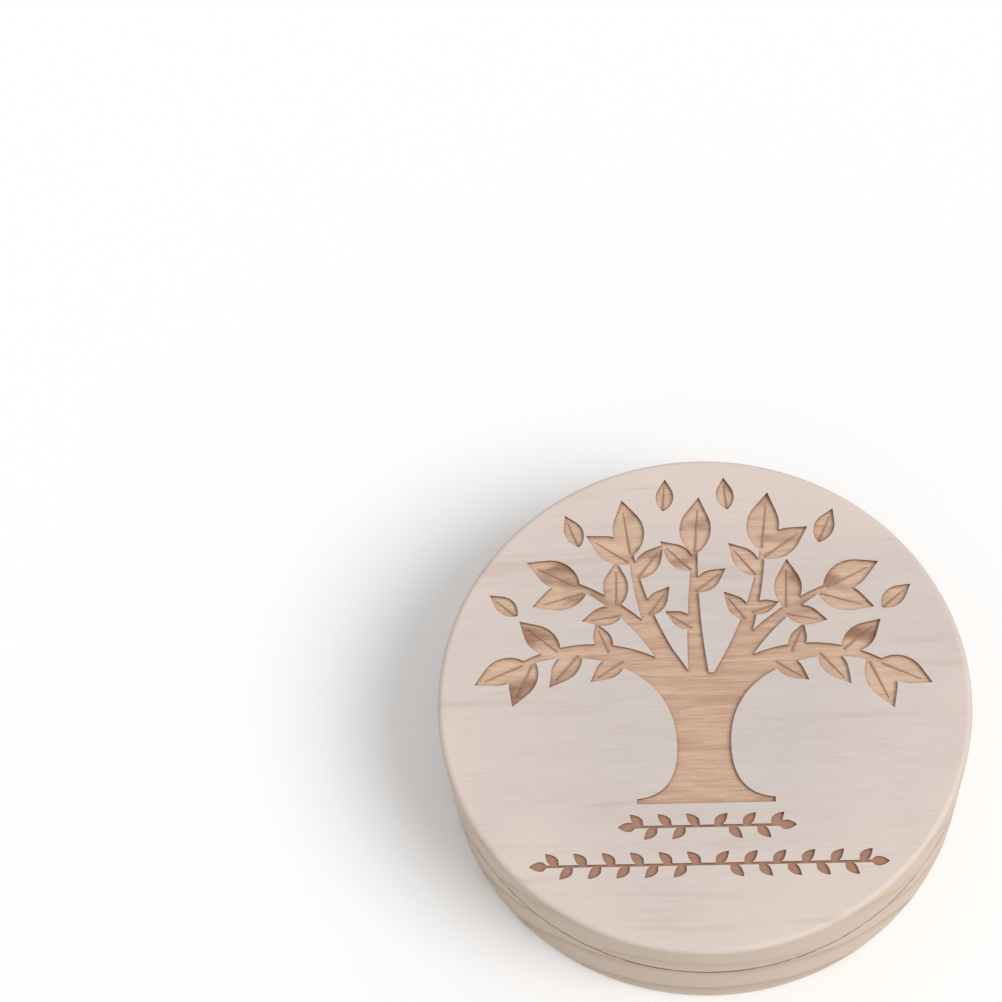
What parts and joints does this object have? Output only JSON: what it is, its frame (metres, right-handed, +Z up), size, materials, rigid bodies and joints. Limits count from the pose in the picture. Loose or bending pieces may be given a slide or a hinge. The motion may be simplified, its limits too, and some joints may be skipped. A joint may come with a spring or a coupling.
{
  "type": "milk tooth box",
  "caption": "Round wooden keepsake box for milk teeth: a drilled base with a well for each tooth, and a lift-off lid with an engraved tree, held by hidden magnets.",
  "frame": {"origin": "middle of the flat underside", "axes": "+Z up through the lid, +Y towards the top of the engraved tree, +X to the tree's right"},
  "size_m": [0.12, 0.12, 0.033],
  "materials": {
    "base_wood": "sanded bare wood",
    "lid_wood": "sanded bare wood, pale, with a toasted engraving",
    "magnet_plate": "nickel plate, satin"
  },
  "bodies": {
    "base": {"base": "base_wood", "base_magnet_1": "magnet_plate", "base_magnet_2": "magnet_plate", "base_magnet_3": "magnet_plate", "base_magnet_4": "magnet_plate"},
    "lid": {"lid": "lid_wood", "lid_magnet_1": "magnet_plate", "lid_magnet_2": "magnet_plate", "lid_magnet_3": "magnet_plate", "lid_magnet_4": "magnet_plate"}
  },
  "joints": [
    {"name": "lid_lift", "type": "slide", "parent": "base", "child": "lid", "axis": [0, 0, 1], "range_m": [0, 0.06]}
  ]
}
